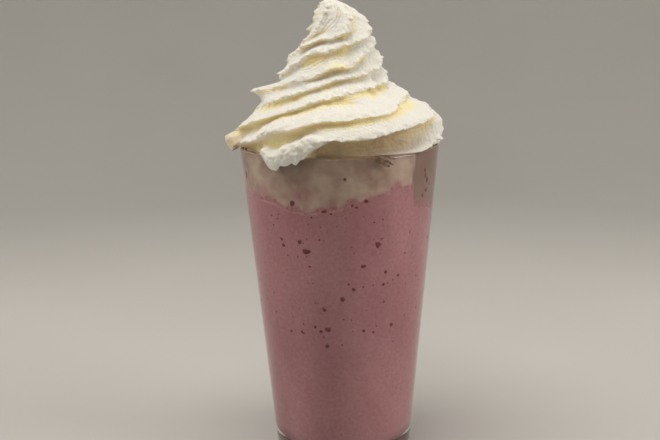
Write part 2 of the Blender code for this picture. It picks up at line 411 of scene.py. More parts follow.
def paint_blotches(tree, shader, scale, detail, *stops):
    """Colours a shader in soft blotches, from (position, colour) pairs."""
    place = tree.nodes.new("ShaderNodeTexCoord")
    colours = add_ramp(tree, *stops)
    tree.links.new(add_noise(tree, place, scale, detail), colours.inputs["Fac"])
    tree.links.new(colours.outputs["Color"], shader.inputs["Base Color"])


def behind_glass_group():
    """The colour of what lies against the wall: pink drink, tan foam that is partly painted shade, and a
    ragged line between.
    """
    group = bpy.data.node_groups.new("Drink and foam", "ShaderNodeTree")
    for name in ("Above", "Splash", "Strip"):
        group.interface.new_socket(name, in_out="INPUT", socket_type="NodeSocketFloat")
    group.interface.new_socket("Color", in_out="OUTPUT", socket_type="NodeSocketColor")
    group.interface.new_socket("Height", in_out="OUTPUT", socket_type="NodeSocketFloat")
    source = group.nodes.new("NodeGroupInput")
    result = group.nodes.new("NodeGroupOutput")
    place = group.nodes.new("ShaderNodeTexCoord")
    broad = add_noise(group, place, 38.0, 3.0, (1.0, 1.0, 0.5))
    speckle = add_noise(group, place, 700.0, 3.0)
    clots = add_noise(group, place, 210.0, 4.0)
    smears = add_noise(group, place, 75.0, 4.0, (1.0, 1.0, 0.7))

    fine = add_math(group, "MULTIPLY", speckle, 0.4)
    pink_mix = add_math(group, "ADD", add_math(group, "MULTIPLY", broad, 0.6), fine)
    pink = add_ramp(group, (0.36, PINK_DEEP), (0.5, PINK), (0.64, PINK_LIGHT))
    group.links.new(pink_mix, pink.inputs["Fac"])
    flecks = add_math(group, "MULTIPLY", clots, 0.3)
    foam_mix = add_math(group, "ADD", add_math(group, "MULTIPLY", smears, 0.7), flecks)
    foam = add_ramp(group, (0.36, SHADED_FOAM_BROWN), (0.48, SHADED_FOAM_TAN), (0.62, SHADED_FOAM_PALE))
    group.links.new(foam_mix, foam.inputs["Fac"])

    wander = add_math(group, "MULTIPLY", add_math(group, "SUBTRACT", clots, 0.5), 8.0)
    fringe = add_math(group, "ADD", source.outputs["Above"], wander)
    foam_share = add_range(group, fringe, -2.2, 3.4)
    patchy = add_range(group, clots, 0.38, 0.56, 0.25, 1.0)
    splashed = add_math(group, "MULTIPLY", source.outputs["Splash"], patchy)
    foam_share = add_math(group, "MULTIPLY", foam_share, add_math(group, "SUBTRACT", 1.0, splashed))
    streaky = add_range(group, smears, 0.35, 0.6, 0.7, 1.0)
    strip_share = add_math(group, "MULTIPLY", source.outputs["Strip"], streaky)
    greyed = add_blend(group, strip_share, foam.outputs["Color"], STRIP_GREY)
    body = add_blend(group, foam_share, pink.outputs["Color"], greyed)
    above_line = add_range(group, fringe, 1.4, 0.2)
    red_line = add_math(group, "MULTIPLY", add_range(group, fringe, -2.6, -0.4), above_line)
    red_line = add_math(group, "MULTIPLY", red_line, add_range(group, speckle, 0.45, 0.62, 0.05, 0.6))
    coloured = add_blend(group, red_line, body, RASPBERRY)
    group.links.new(coloured, result.inputs["Color"])
    group.links.new(speckle, result.inputs["Height"])
    return group


BEHIND_GLASS = behind_glass_group()


def behind_glass_material(name):
    """Milky and a little see-through at the surface, with the fine grain of blended foam."""
    material, tree, shader, _ = new_material(name)
    look = tree.nodes.new("ShaderNodeGroup")
    look.node_tree = BEHIND_GLASS
    for socket in ("Above", "Splash", "Strip"):
        read = tree.nodes.new("ShaderNodeAttribute")
        read.attribute_name = socket.lower()
        tree.links.new(read.outputs["Fac"], look.inputs[socket])
    relief = add_node(tree, "ShaderNodeBump", Strength=0.2, Distance=0.0002)
    shader.inputs["Roughness"].default_value = 0.5
    shader.inputs["Specular IOR Level"].default_value = 0.12
    shader.inputs["Subsurface Weight"].default_value = 0.3
    shader.inputs["Subsurface Radius"].default_value = (1.0, 0.5, 0.45)
    shader.inputs["Subsurface Scale"].default_value = 0.002
    tree.links.new(look.outputs["Height"], relief.inputs["Height"])
    tree.links.new(look.outputs["Color"], shader.inputs["Base Color"])
    tree.links.new(relief.outputs["Normal"], shader.inputs["Normal"])
    return material


drink_skin = sphere_to_skin(DRINK_COLUMNS, DRINK_RINGS, drink_points)
drink = finish_mesh("pink_milkshake", drink_skin, behind_glass_material("pink milkshake"), radians(50))
store_meeting_line(drink)
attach(drink, "root")
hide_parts("milkshake")

# Air bubbles that burst against the glass leave pits in the drink's skin, drawn in a dark wine red that is
# painted shade.
# The larger ones lie where the front shows them, as azimuth in degrees, height, width and length in mm.
# Smaller ones are scattered round the wall, denser towards the top, and none near the foot.
FRONT_BUBBLES = (
    (-112, 110.4, 3.4, 2.4), (-68, 113.0, 2.4, 2.9), (-116, 114.4, 1.9, 2.0), (-129, 114.6, 1.5, 1.6),
    (-128, 111.8, 1.8, 1.6), (-77, 104.0, 2.2, 1.8), (-62, 100.2, 1.4, 1.8), (-52, 97.5, 1.3, 1.5),
    (-63, 94.7, 1.3, 1.6), (-83, 93.7, 1.9, 1.8), (-90, 89.5, 2.0, 2.4), (-102, 84.4, 1.6, 1.6),
    (-100, 75.4, 2.8, 2.2), (-105, 74.2, 1.5, 1.6), (-109, 76.1, 1.3, 1.5), (-119, 73.0, 1.5, 1.4),
    (-101, 67.4, 1.7, 1.9), (-55, 74.9, 1.6, 1.8), (-76, 74.3, 1.5, 1.5), (-69, 73.1, 1.2, 1.2),
    (-128, 72.1, 1.3, 1.2), (-119, 130.9, 2.2, 2.6), (-100, 128.0, 2.2, 1.5), (-96, 127.2, 1.3, 0.9),
    (-76, 132.0, 1.9, 1.5), (-84, 130.4, 1.2, 1.3), (-81.5, 129.6, 1.4, 1.0), (-88, 141.5, 1.2, 1.5),
    (-161.5, 139.5, 1.9, 3.8), (-33.6, 141.6, 1.5, 2.4), (-29.8, 137.2, 2.2, 3.0), (-32.5, 139.2, 1.6, 1.8),
    (-29.9, 132.4, 1.8, 2.4), (-26.0, 134.8, 1.6, 1.6), (-34.0, 130.6, 1.4, 1.8),
)
FRONT = radians(-90)
FRONT_HALF_TURN = radians(60)
SCATTERED_BUBBLES = 300
SCATTER_TOP = 127.0
SCATTER_BAND = 62.0
BUBBLE_DEPTH_SHARE = 0.14
BUBBLE_DENT_SHARE = 0.35
BUBBLE_DENT_SIZE = 1.1 * MM
# Painted shade of the bubble hollows, in two wine reds.
BUBBLE_SHADE_RED = (0.11, 0.008, 0.012, 1.0)
BUBBLE_SHADE_RED_LIGHT = (0.17, 0.025, 0.032, 1.0)


def bubble_material():
    """Painted shade in wine red, blotched a little, with a wet surface."""
    material, tree, shader, _ = new_material("bubble pits in painted shade")
    shader.inputs["Roughness"].default_value = 0.4
    shader.inputs["Specular IOR Level"].default_value = 0.15
    paint_blotches(tree, shader, 900.0, 2.0, (0.35, BUBBLE_SHADE_RED), (0.65, BUBBLE_SHADE_RED_LIGHT))
    return material


def bubble_places():
    """The bubbles at the front, and then the seeded scatter, which is coarser away from the front."""
    draw = np.random.default_rng(7)
    places = list(FRONT_BUBBLES)
    for _ in range(SCATTERED_BUBBLES):
        azimuth = draw.uniform(-180, 180)
        height = SCATTER_TOP - SCATTER_BAND * draw.uniform() ** 1.3
        width = 0.4 + 0.6 * draw.uniform() ** 2
        coarser = 1.3 + 2.2 * draw.uniform() ** 3
        if abs(turn_between(radians(azimuth), FRONT)) > FRONT_HALF_TURN:
            width *= coarser
        places.append((azimuth, height, width, width * draw.uniform(0.8, 1.3)))
    return places


pits = bmesh.new()
for azimuth, height, width, length in bubble_places():
    z = height * MM
    away = Matrix.Translation((inner_radius(z) + DRINK_REACH, 0, z))
    shape = Matrix.Rotation(radians(azimuth), 4, "Z") @ away
    shape = shape @ Matrix.Diagonal((BUBBLE_DEPTH_SHARE * min(width, length), width, length, 1.0))
    made = bmesh.ops.create_icosphere(pits, subdivisions=2, radius=MM / 2, matrix=shape)
    middle = Vector(on_cylinder(inner_radius(z), radians(azimuth), z))
    for vertex in made["verts"]:
        dent = 1 + BUBBLE_DENT_SHARE * noise.noise(vertex.co / BUBBLE_DENT_SIZE)
        vertex.co = middle + (vertex.co - middle) * dent
bubbles = finish_mesh("shaded_bubble_pits", pits, bubble_material())
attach(bubbles, "root")

# Below the rim the cream has melted a little into the drink, as a tan foam that fills the glass; the tan is
# partly painted shade.
# Pink drink has splashed up into its lower edge, and at the right it has run down the wall in a strip.
# The stiff cream stands on it.
FOAM_REACH = 0.07 * MM
FOAM_FLOOR = 118.0 * MM
FOAM_TOP = 149.0 * MM
FOAM_DOME = 0.5 * MM
FOAM_SHOULDER = 1.2 * MM
FOAM_COLUMNS = 240
FOAM_RINGS = 70
FOAM_FLOOR_SHARE = 0.06
FOAM_WALL_SHARE = 0.80


def foam_points(share, azimuth):
    """A plug: its hidden underside, its wall, and its top inside the rim."""
    floor_edge = inner_radius(FOAM_FLOOR) + FOAM_REACH
    wall_top = inner_radius(FOAM_TOP) + FOAM_REACH
    wall_z = FOAM_FLOOR + ramp(FOAM_FLOOR_SHARE, FOAM_WALL_SHARE, share) * (FOAM_TOP - FOAM_FLOOR)
    dome_z = FOAM_TOP + FOAM_DOME
    over = [(wall_top, FOAM_TOP), (wall_top - FOAM_SHOULDER, dome_z), (0.0, dome_z)]
    stages = (
        walk([(0.0, FOAM_FLOOR), (floor_edge, FOAM_FLOOR)], share / FOAM_FLOOR_SHARE),
        (inner_radius(wall_z) + FOAM_REACH, wall_z),
        walk(over, ramp(FOAM_WALL_SHARE, 1.0, share)),
    )
    radius, z = pick_stage(share, (FOAM_FLOOR_SHARE, FOAM_WALL_SHARE), stages)
    return on_cylinder(radius, azimuth, z)


foam_skin = sphere_to_skin(FOAM_COLUMNS, FOAM_RINGS, foam_points)
foam = finish_mesh("melted_foam", foam_skin, behind_glass_material("melted cream foam with painted shade"), radians(50))
store_meeting_line(foam)
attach(foam, "root")
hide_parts("whipped_cream")

# The cream is whipped stiff and piped with a star nozzle in one rising coil, so that its ridges climb
# to the right and twist together at the tip. At the front left its lowest ridge has slumped over the rim.
# The crests are torn and ragged, and the grooves between them stay smooth.
CREAM_TOP = 212.4 * MM
OUTLINE_HEIGHTS = np.array([150, 156, 161, 165, 170, 176, 181, 187, 194, 202, 207, 210, 211.6, 212.4])
OUTLINE_RADII = np.array([45.2, 45.4, 44.6, 41.2, 33.4, 27.0, 23.6, 21.4, 16.8, 12.8, 10.4, 7.2, 4.2, 0.0])
GROOVE_HEIGHTS = np.array([150, 160, 176, 188, 198, 207, 212.4]) * MM
GROOVE_DEPTHS = np.array([5.6, 5.4, 3.1, 2.7, 2.7, 2.6, 0.0]) * MM
GROOVE_VARIES = 0.35
GROOVE_VARIES_SIZE = 0.435
CREST_VARIES_SIZE = 0.3
RIDGE_VARIES_HEIGHT = 30 * MM
GROOVE_AT = 0.56
SHALLOW_GROOVE = 0.8 * MM
DEEP_GROOVE = 3.1 * MM
RIDGES_ROUND = 6
CLIMB_HEIGHTS = np.array([150, 155, 160, 165, 170, 175, 180, 184, 189, 193, 196, 199, 204, 212.4]) * MM
CLIMB_RIDGES = np.array([-0.55, 0.0, 0.55, 1.1, 1.75, 2.45, 3.3, 3.9, 4.5, 5.0, 5.6, 6.15, 6.4, 6.5])
CLIMB_WANDER = 0.10
CLIMB_WANDER_SIZE = 0.625
CLIMB_WANDER_HEIGHT = 40 * MM
# Where the hand that piped it was uneven. A row here, and each place in this section, starts with azimuth
# and half width in degrees, and height and half height in mm. Here it ends with the ridges that it lags.
UNEVEN_PIPING = (
    (-92, 14, 157, 5.5, 0.38), (-62, 22, 161, 6, 0.28), (-106, 24, 168, 6, 0.42), (-133, 14, 162, 5, 0.40),
    (-82, 28, 177, 6, 0.36), (-112, 15, 181, 4, -0.22), (-124, 15, 191, 5, 0.28), (-130, 22, 204, 12, 0.18),
    (-101, 7, 155, 4, 0.45), (-108, 11, 161, 4, 0.3), (-60, 11, 166, 4, -0.2), (-42, 24, 152, 3.5, -0.4),
    (-74, 14, 186, 4.5, -0.35),
)
# Where the grooves are smeared full, and by what share.
SMEARED_GROOVES = (
    (-4, 32, 160, 9, 0.85), (172, 17, 153.5, 3.5, 0.95), (-130, 32, 205, 6, 0.75),
    (-134, 15, 180, 4.5, 0.75), (-75, 16, 172, 3, 0.45), (-50, 14, 182, 4, 0.4), (100, 25, 190, 6, 0.4),
    (40, 20, 170, 5, 0.35), (180, 26, 169, 11, 0.62), (180, 32, 192, 13, 0.45), (-28, 27, 191, 13, 0.75),
)
# What stands out of the swirl, and how far in mm: the left lobe, the folded lobe at the right with the
# hook above it, and a fold of the tip. Then what lies in: a crease, and a hollow on each side of the tip.
LOBES_AND_HOLLOWS = (
    (173, 13, 153.3, 4, 7.2), (-12, 22, 158, 5, 0.6), (-4, 8, 172.5, 2, 2.6), (-84, 9, 203, 8, 1.3),
    (-42, 5, 175, 6, -2.4), (-128, 24, 203, 6, -1.8), (-48, 15, 204, 5, -2.2),
)
# The torn end of a ridge at the left, in mm and degrees. It is flatter above than below.
FIN_LENGTH = 9.5
FIN_AT = 179
FIN_HALF_WIDTH = 12
FIN_HEIGHT = 175.2
FIN_ABOVE = 1.7
FIN_BELOW = 4.2
# Where the cream gets more painted yellow shade than its grooves give it, and by what share.
PAINTED_SHADE_PLACES = ((-84, 17, 184.5, 2.6, 0.9), (-174, 13, 152.0, 5.0, 0.95), (-52, 9, 203, 4, 0.35))
LOBE_SAG = 3.2 * MM
LOBE_SAG_AT = radians(173)
LOBE_SAG_HALF_WIDTH = radians(17)
LOBE_SAG_FROM = (154.5 * MM, 151.5 * MM)
LOBE_SAG_OUTSIDE = (45.6 * MM, 48.0 * MM)
CREST_SAG = 1.5 * MM
CREST_SAG_VARIES = 0.6
CREST_SAG_FROM = (152 * MM, 158 * MM)
CREST_SAG_EASES = (164 * MM, 174 * MM)
CREST_SAG_EASED = 0.65
ROUNDING_HEIGHTS = np.array([157, 170]) * MM
CREST_ROUNDINGS = np.array([0.04, 0.13])
SPILL_EDGES_AT = np.radians([-142, -138, -134, -130.5, -127, -123, -117.5, -113.5, -109, -104])
SPILL_EDGES = np.array([0.0, 0.3, 0.45, 0.65, 1.0, 0.66, 0.62, 0.5, 0.38, 0.0])
SPILL_DROP = 6.0 * MM
SPILL_BULGE = 1.7 * MM
SPILL_REACH = 9.0 * MM
SPILL_TUCK = 9.0 * MM
SPILL_OUT_BY = 0.2
SPILL_BEADS = ((1.6, 3.1, 6.0), (0.9, 2.0, 2.0))
SPILL_TURNS_AT = 0.95
SPILL_TURNS_OUT = 0.3 * MM
# The slumped ridge: where it starts and ends, and its upper and lower edge, as shares of the way down
# to the rim from SPILL_REACH above it.
SLUMP_STARTS = (radians(-143), radians(-133))
SLUMP_ENDS = (radians(-94), radians(-101))
SLUMP_TOP_FADE = (-0.22, 0.04)
SLUMP_BOTTOM_FADE = (0.1, -0.05)
SLUMP_ROUNDING = 1.9
SLUMP_SEAM = (-0.5 * MM, 0.8 * MM)
SLUMP_AT = np.radians([-150, -137, -125, -114, -110, -106, -102.5, -99, -95])
SLUMP_TOPS = np.array([0.85, 0.62, 0.45, 0.26, 0.14, 0.02, -0.1, -0.2, -0.3])
SLUMP_BOTTOMS = np.array([1.3, 1.3, 1.3, 1.3, 1.02, 0.78, 0.56, 0.42, 0.35])
RIM_CLEARANCE = 0.35 * MM
CLEAR_RADIUS = RIM_RADIUS + RIM_CLEARANCE
LIP_HEIGHT = GLASS_HEIGHT + RIM_CLEARANCE
TIP_CLOSES = 208.0 * MM
TIP_FROM = 198.0 * MM
TIP_SLOPE = -0.24
LEAN_HEIGHTS = np.array([152, 158, 164, 168, 171, 175, 179, 184, 189, 193, 196, 201, 207, 210, 212.4])
LEAN_SIDEWAYS = np.array([0, 0.4, 1.7, 1.7, 0, -1.2, -2.2, -1.9, -1.5, -0.4, 0.8, 1.2, 1.2, 0, -1.2])
LEAN_BACK = -0.5
# The fine relief: teeth along the torn crests, ripples, more of them on the slumped ridge, the stripes
# that the nozzle drew in the grooves, and pleats round the folded lobe.
RELIEF_STARTS = (0.0, 0.04)
RELIEF_ENDS = (1.0, 0.985)
PLAIN_TIP_RADIUS = 2 * MM
TEETH_OUT = 2.6 * MM
TEETH_SIZE = 2.4 * MM
TEETH_POINTED = 1.3
TEETH_LUMPS = ((0.8, 1.4, 2.0),)
TEETH_DROOP = 0.25
MORE_TEETH_AT = radians(-165)
MORE_TEETH_HALF_WIDTH = radians(45)
MORE_TEETH = 0.7
RAGGED_LEFT = (-178, 22, 163, 13)
RAGGED_LEFT_SHARE = 0.4
CREST_LUMPS = ((0.9, 2.2, 12.0),)
RIPPLES = ((0.5, 5.5, 8.0), (0.22, 1.7, 1.0))
SLUMP_RIPPLES = ((0.7, 2.4, 14.0), (0.7, 1.3, 4.0))
STRIPE_DEPTH = 0.13 * MM
STRIPES_PER_RIDGE = 8
PLEAT_DEPTH = 0.28 * MM
PLEATS_ROUND = 90
PLEATED = (-8, 28, 158, 6.5)
CREAM_COLUMNS = 414
CREAM_RINGS = 240
CREAM_FLOOR = 146 * MM
CREAM_OFF_WALL = 0.6 * MM
CREAM_FLOOR_SHARE = 0.015
CREAM_WALL_SHARE = 0.04
CREAM_RIM_SHARE = 0.12
# The cream's warm white where lit; butter and yellow are painted shade for its grooves, and the brown is
# painted shadow.
CREAM_WHITE = (0.81, 0.785, 0.715, 1.0)
CREAM_SHADE_BUTTER = (0.85, 0.785, 0.58, 1.0)
CREAM_SHADE_YELLOW = (0.88, 0.75, 0.40, 1.0)
CREAM_SHADOW_BROWN = (0.50, 0.36, 0.235, 1.0)
# Where the painted shadow brown lies: under the lowest ridge at the front, and on the left lobe.
SHADOW_FRONT_AT = radians(-78)
SHADOW_FRONT_HALF_WIDTH = radians(48)
SHADOW_ON_LOBE = (-174, 12, 151, 4)
UNDERSIDE_SHADES = (0.02, 0.6)
UPPER_SHADES = (0.55, 1.05)


def ridges_climbed(z, azimuth):
    """How many ridges lie below a point of the swirl: a whole number on each crest."""
    climb = np.interp(z, CLIMB_HEIGHTS, CLIMB_RIDGES) - RIDGES_ROUND * (azimuth - FRONT) / (2 * pi)
    for *where, lag in UNEVEN_PIPING:
        climb -= lag * hill(azimuth, z, *where)
    place = on_cylinder(1.0, azimuth, z / CLIMB_WANDER_HEIGHT)
    return climb + CLIMB_WANDER * grain(place, CLIMB_WANDER_SIZE)


def nearest_crest(z, azimuth):
    """The height of the crest nearest to z, so that a ring of points can be laid along it."""
    crest = np.round(ridges_climbed(z, azimuth))
    step = 0.1 * MM
    least_rate = 0.02 / MM
    for _ in range(2):
        climb = ridges_climbed(z, azimuth)
        rate = (ridges_climbed(z + step, azimuth) - climb) / step
        z = z + (crest - climb) / np.maximum(rate, least_rate)
    return z


def ridge_height(climb, rounding):
    """1 on the crest of a piped ridge, falling to 0 in the groove close under the next crest."""
    part = climb - np.floor(climb)
    above = part / GROOVE_AT
    below = (1 - part) / (1 - GROOVE_AT)
    from_crest = 0.5 * np.where(part < GROOVE_AT, above, below)
    fall = np.sin(pi * np.minimum(0.5, np.hypot(from_crest, rounding)))
    least = np.sin(pi * rounding)
    return 1 - (fall - least) / (1 - least)


def standing_out(z, azimuth):
    """How far lobes, torn ridge ends, creases and hollows stand out of the swirl."""
    fin_half_height = np.where(z > FIN_HEIGHT * MM, FIN_ABOVE, FIN_BELOW)
    length = FIN_LENGTH * hill(azimuth, z, FIN_AT, FIN_HALF_WIDTH, FIN_HEIGHT, fin_half_height)
    for *place, out in LOBES_AND_HOLLOWS:
        length = length + out * hill(azimuth, z, *place)
    return length * MM


def swirl_section(z, azimuth):
    """For heights on the outline: radius and sagged height, the place on a ridge, and how shaded it is."""
    climb = ridges_climbed(z, azimuth)
    ridge = ridge_height(climb, np.interp(z, ROUNDING_HEIGHTS, CREST_ROUNDINGS))
    place = on_cylinder(1.0, azimuth, z / RIDGE_VARIES_HEIGHT)
    depth = np.interp(z, GROOVE_HEIGHTS, GROOVE_DEPTHS)
    depth = depth * (1 + GROOVE_VARIES * grain(place, GROOVE_VARIES_SIZE, 7.0))
    for *where, share in SMEARED_GROOVES:
        depth = depth * (1 - share * hill(azimuth, z, *where))
    outline = MM * np.interp(z / MM, OUTLINE_HEIGHTS, OUTLINE_RADII)
    closing = 1 - smooth_step(TIP_CLOSES, CREAM_TOP, z)
    radius = outline - depth * (1 - ridge) + standing_out(z, azimuth) * closing
    sagging = smooth_step(*CREST_SAG_FROM, z) * (1 - CREST_SAG_EASED * smooth_step(*CREST_SAG_EASES, z))
    sag = CREST_SAG * (1 + CREST_SAG_VARIES * grain(place, CREST_VARIES_SIZE, 4.0))
    sag = sag * ridge ** 1.5 * sagging * closing
    at_lobe = bump(turn_between(azimuth, LOBE_SAG_AT), LOBE_SAG_HALF_WIDTH)
    at_lobe = at_lobe * smooth_step(*LOBE_SAG_OUTSIDE, radius) * smooth_step(*LOBE_SAG_FROM, z)
    shade = (1 - ridge) * ramp(SHALLOW_GROOVE, DEEP_GROOVE, depth)
    return np.maximum(0.0, radius), z - sag - LOBE_SAG * at_lobe, ridge, climb, shade


def spill_amounts(azimuth):
    """How far the cream is out over the rim, from 0 to 1, and how far it then hangs down, in metres."""
    amount = smooth_step(0.0, 1.0, np.interp(azimuth, SPILL_EDGES_AT, SPILL_EDGES))
    hanging = np.maximum(0.0, amount - SPILL_OUT_BY) / (1 - SPILL_OUT_BY)
    beads = lumps_round(azimuth, SPILL_BEADS)
    drop = hanging * SPILL_DROP + beads * np.minimum(1.0, 3 * hanging)
    return np.minimum(1.0, amount / SPILL_OUT_BY), drop


def slumped_ridge(azimuth, low):
    """The radius of the lowest ridge where it slumps over the rim: a rope, tucked in above and below."""
    top = np.interp(azimuth, SLUMP_AT, SLUMP_TOPS)
    bottom = np.interp(azimuth, SLUMP_AT, SLUMP_BOTTOMS)
    along = smooth_step(*SLUMP_STARTS, azimuth) * smooth_step(*SLUMP_ENDS, azimuth)
    down = ramp(top, np.minimum(bottom, 1.0), low)
    rounded = np.sqrt(np.clip(1 - (SLUMP_ROUNDING * down - 1) ** 2, 0.0, 1.0))
    present = along * smooth_step(*SLUMP_TOP_FADE, low - top)
    present = present * smooth_step(*SLUMP_BOTTOM_FADE, low - bottom)
    rope = CLEAR_RADIUS + SPILL_BULGE * rounded - SPILL_TUCK * (1 - present)
    return np.where(low > 0, rope, 0.0)


def lean(z):
    """How far the swirl's middle strays from the glass's axis."""
    aside = MM * np.interp(z / MM, LEAN_HEIGHTS, LEAN_SIDEWAYS)
    return aside, LEAN_BACK * aside


def below_swirl(share, lip_radius, drop):
    """The stages below the swirl: the cream's floor in the foam, its wall, and its edge over the rim."""
    foot_radius = np.minimum(inner_radius(GLASS_HEIGHT) - CREAM_OFF_WALL, lip_radius)
    edge = [
        (foot_radius, LIP_HEIGHT), (lip_radius, LIP_HEIGHT),
        (lip_radius, LIP_HEIGHT - SPILL_TURNS_AT * drop), (lip_radius + SPILL_TURNS_OUT, LIP_HEIGHT - drop),
    ]
    return [
        walk([(0.0, CREAM_FLOOR), (foot_radius, CREAM_FLOOR)], share / CREAM_FLOOR_SHARE),
        walk([(foot_radius, CREAM_FLOOR), edge[0]], ramp(CREAM_FLOOR_SHARE, CREAM_WALL_SHARE, share)),
        walk(edge, ramp(CREAM_WALL_SHARE, CREAM_RIM_SHARE, share)),
    ]


def swirl_rows(rise, azimuth):
    """Heights for the rows of points. A row that comes close to a crest is laid along it."""
    row = (CREAM_TOP - LIP_HEIGHT) / ((1 - CREAM_RIM_SHARE) * CREAM_RINGS)
    plain = LIP_HEIGHT + rise * (CREAM_TOP - LIP_HEIGHT)
    crest = nearest_crest(plain, azimuth)
    between = (plain > LIP_HEIGHT + row) & (plain < CREAM_TOP - 4 * row)
    return np.where(between & (np.abs(crest - plain) < row / 2), crest, plain)


def torn_relief(place, azimuth, ridge, climb, in_slump):
    """The fine relief: how far it stands out, and how far it moves up."""
    z = place[:, 2]
    more = 1 + MORE_TEETH * bump(turn_between(azimuth, MORE_TEETH_AT), MORE_TEETH_HALF_WIDTH)
    teeth = TEETH_OUT * np.maximum(0.0, grain(place, TEETH_SIZE, 5.0)) ** TEETH_POINTED
    teeth += lumps(place, TEETH_LUMPS)
    torn = np.maximum(ridge ** 4, RAGGED_LEFT_SHARE * hill(azimuth, z, *RAGGED_LEFT)) * more * teeth
    ripples = lumps(place, RIPPLES) + in_slump * lumps(place, SLUMP_RIPPLES)
    stripes = np.sin(2 * pi * STRIPES_PER_RIDGE * climb + 2.5 * grain(place, 9.0 * MM, 3.0))
    pleats = np.sin(azimuth * PLEATS_ROUND + 3 * grain(place, 6.0 * MM, 11.0)) * hill(azimuth, z, *PLEATED)
    outward = torn + ripples + PLEAT_DEPTH * pleats + STRIPE_DEPTH * stripes * (1 - ridge)
    upward = ridge ** 3 * (lumps(place, CREST_LUMPS) - TEETH_DROOP * np.maximum(0.0, torn))
    return outward, upward


# How lit each point of the cream is painted and how much painted shadow brown it gets, which cream_tones
# fills in for the material.
CREAM_TONES = {}


def cream_tones(azimuth, z, climb, shade, in_slump, on_swirl):
    """Painted light and shade: white lit crests, butter and yellow painted shade in the grooves, darkest on
    the underside of a ridge, and painted shadow brown at the rim.
    """
    underside = climb - np.floor(climb) > GROOVE_AT
    below, above = smooth_step(*UNDERSIDE_SHADES, shade), smooth_step(*UPPER_SHADES, shade)
    lit = 1 - np.where(underside, below, above)
    # Painted shade at a few places, on top of that of the grooves.
    for *place, more in PAINTED_SHADE_PLACES:
        lit = lit * (1 - more * hill(azimuth, z, *place))
    # Painted shadow brown under the lowest ridge at the front, and on the shaded left lobe.
    near_front = bump(turn_between(azimuth, SHADOW_FRONT_AT), SHADOW_FRONT_HALF_WIDTH)
    painted_shadow = 0.95 * smooth_step(0.2, 0.8, shade) * (climb < 0) * near_front
    painted_shadow += 0.7 * hill(azimuth, z, *SHADOW_ON_LOBE)
    # The crest value is painted light: 1 where lit, lower in painted shade; the slumped ridge is painted
    # fully lit, the cream below the swirl shaded.
    CREAM_TONES["crest"] = np.where(on_swirl, (0.2 + 0.8 * lit) * (1 - in_slump) + in_slump, 0.2)
    CREAM_TONES["painted_shadow"] = np.where(on_swirl, painted_shadow * (1 - in_slump), 0.8)


def cream_points(share, azimuth):
    """Up from inside the foam, over the rim where it spills, and up the ridged swirl to its torn tip."""
    out, drop = spill_amounts(azimuth)
    lip_radius = swirl_section(np.full_like(azimuth, LIP_HEIGHT), azimuth)[0]
    lip_radius = lip_radius + out * (np.maximum(lip_radius, CLEAR_RADIUS) - lip_radius)

    rise = ramp(CREAM_RIM_SHARE, 1.0, share)
    rows = swirl_rows(rise, azimuth)
    swirl_x, swirl_z, ridge, climb, shade = swirl_section(rows, azimuth)
    low = np.maximum(0.0, 1 - (rows - LIP_HEIGHT) / SPILL_REACH)
    swirl_x += out * low * (np.maximum(swirl_x, CLEAR_RADIUS) - swirl_x)
    slump = slumped_ridge(azimuth, low)
    in_slump = smooth_step(*SLUMP_SEAM, slump - swirl_x)
    swirl = (np.maximum(swirl_x, slump), swirl_z - drop * low)
    ends = (CREAM_FLOOR_SHARE, CREAM_WALL_SHARE, CREAM_RIM_SHARE)
    radius, z = pick_stage(share, ends, below_swirl(share, lip_radius, drop) + [swirl])

    place = on_cylinder(radius, azimuth, z)
    fade = smooth_step(*RELIEF_STARTS, rise) * smooth_step(*RELIEF_ENDS, rise)
    outward, upward = torn_relief(place, azimuth, ridge, climb, in_slump)
    radius = np.where(radius > PLAIN_TIP_RADIUS, radius + fade * outward, radius)
    z = z + fade * upward
    aside, back = lean(z)
    x = radius * np.cos(azimuth) + aside
    y = radius * np.sin(azimuth) + back
    z = z + TIP_SLOPE * x * smooth_step(TIP_FROM, CREAM_TOP, z)
    cream_tones(azimuth, z, climb, shade, in_slump, share > CREAM_RIM_SHARE)
    return np.stack([x, y, z], axis=-1)


